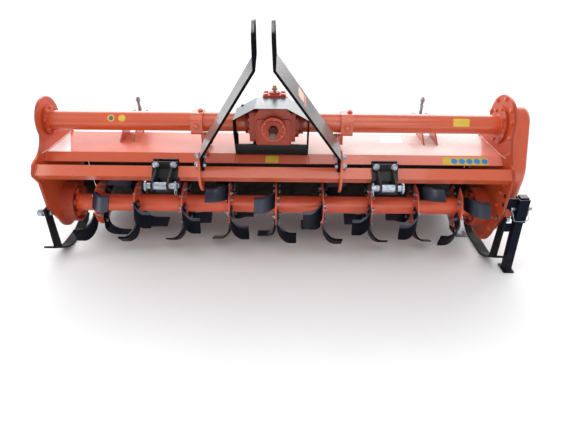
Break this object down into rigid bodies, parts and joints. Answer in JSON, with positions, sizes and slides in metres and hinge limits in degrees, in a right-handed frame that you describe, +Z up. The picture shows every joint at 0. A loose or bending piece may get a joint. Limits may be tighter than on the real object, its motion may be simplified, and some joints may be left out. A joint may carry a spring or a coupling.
{
  "type": "rotary tiller",
  "caption": "Tractor-mounted rotary tiller: bladed rotor under a hood, round top tube, front beam, central gearbox, headstock, side gear case and parking stand.",
  "frame": {"origin": "middle of the footprint on the floor that the skids stand on", "axes": "+X across the working width towards the side gear case, +Y to the rear, away from the tractor, +Z up"},
  "size_m": [2.5462, 0.9348, 1.2811],
  "materials": {
    "orange_paint": "gloss enamel",
    "cast_orange": "satin enamel on a casting",
    "black_paint": "gloss enamel",
    "tine_black": "gloss dip paint",
    "board_black": "satin enamel",
    "zinc_steel": "zinc plated",
    "machined_steel": "machined"
  },
  "bodies": {
    "frame": {"bearing_housing_left": "orange_paint", "bearing_housing_right": "orange_paint", "board_hinge_pin": "zinc_steel", "breather_plug": "machined_steel", "front_beam": "orange_paint", "gear_case": "orange_paint", "gearbox": "cast_orange", "gearbox_cover": "cast_orange", "gearbox_stand": "black_paint", "hitch_bracket_left": "black_paint", "hitch_bracket_right": "black_paint", "hitch_pin_left": "zinc_steel", "hitch_pin_right": "zinc_steel", "hood": "orange_paint", "main_tube_left": "orange_paint", "main_tube_right": "orange_paint", "mast_bar_left": "black_paint", "mast_bar_right": "black_paint", "mast_lug_left": "orange_paint", "mast_lug_right": "orange_paint", "pto_guard": "black_paint", "rod_guide_left": "orange_paint", "rod_guide_right": "orange_paint", "side_plate_left": "orange_paint", "side_plate_right": "orange_paint", "skid_left": "black_paint", "skid_right": "black_paint", "stand_bracket": "black_paint", "stand_pin": "zinc_steel", "tube_clamp_left": "orange_paint", "tube_clamp_right": "orange_paint", "tube_flange_left": "orange_paint", "tube_flange_right": "orange_paint"},
    "rotor": {"rotor_tube": "orange_paint", "tines_left_hand": "tine_black", "tines_right_hand": "tine_black"},
    "stub_shaft": {"pto_shaft": "machined_steel"},
    "board": {"rear_board": "board_black", "lug_pin_left": "zinc_steel", "lug_pin_right": "zinc_steel"},
    "rod_left": {"spring_rod_left": "zinc_steel", "spring_left": "zinc_steel"},
    "rod_right": {"spring_rod_right": "zinc_steel", "spring_right": "zinc_steel"},
    "stand": {"stand_leg": "black_paint"}
  },
  "joints": [
    {"name": "rotor_spin", "type": "hinge", "parent": "frame", "child": "rotor", "pos_m": [-0.03813, 0.02556, 0.262], "axis": [1, 0, 0], "continuous": true},
    {"name": "stub_spin", "type": "hinge", "parent": "frame", "child": "stub_shaft", "pos_m": [-0.03813, -0.14444, 0.742], "axis": [0, -1, 0], "continuous": true},
    {"name": "board_hinge", "type": "hinge", "parent": "frame", "child": "board", "pos_m": [-0.03813, 0.30556, 0.512], "axis": [1, 0, 0], "range_deg": [0, 35]},
    {"name": "rod_left_swing", "type": "hinge", "parent": "board", "child": "rod_left", "pos_m": [-0.83513, 0.37556, 0.392], "axis": [1, 0, 0], "range_deg": [-20.57, 0.5]},
    {"name": "rod_right_swing", "type": "hinge", "parent": "board", "child": "rod_right", "pos_m": [0.80287, 0.37556, 0.392], "axis": [1, 0, 0], "range_deg": [-20.57, 0.5]},
    {"name": "stand_slide", "type": "slide", "parent": "frame", "child": "stand", "axis": [-0.0436, 0, 0.999], "range_m": [-0.1, 0.2]}
  ],
  "couplings": [
    {"joint": "stub_spin", "follows": "rotor_spin", "ratio": 2.45},
    {"joint": "rod_left_swing", "follows": "board_hinge", "ratio": -0.5734},
    {"joint": "rod_right_swing", "follows": "board_hinge", "ratio": -0.5734}
  ]
}
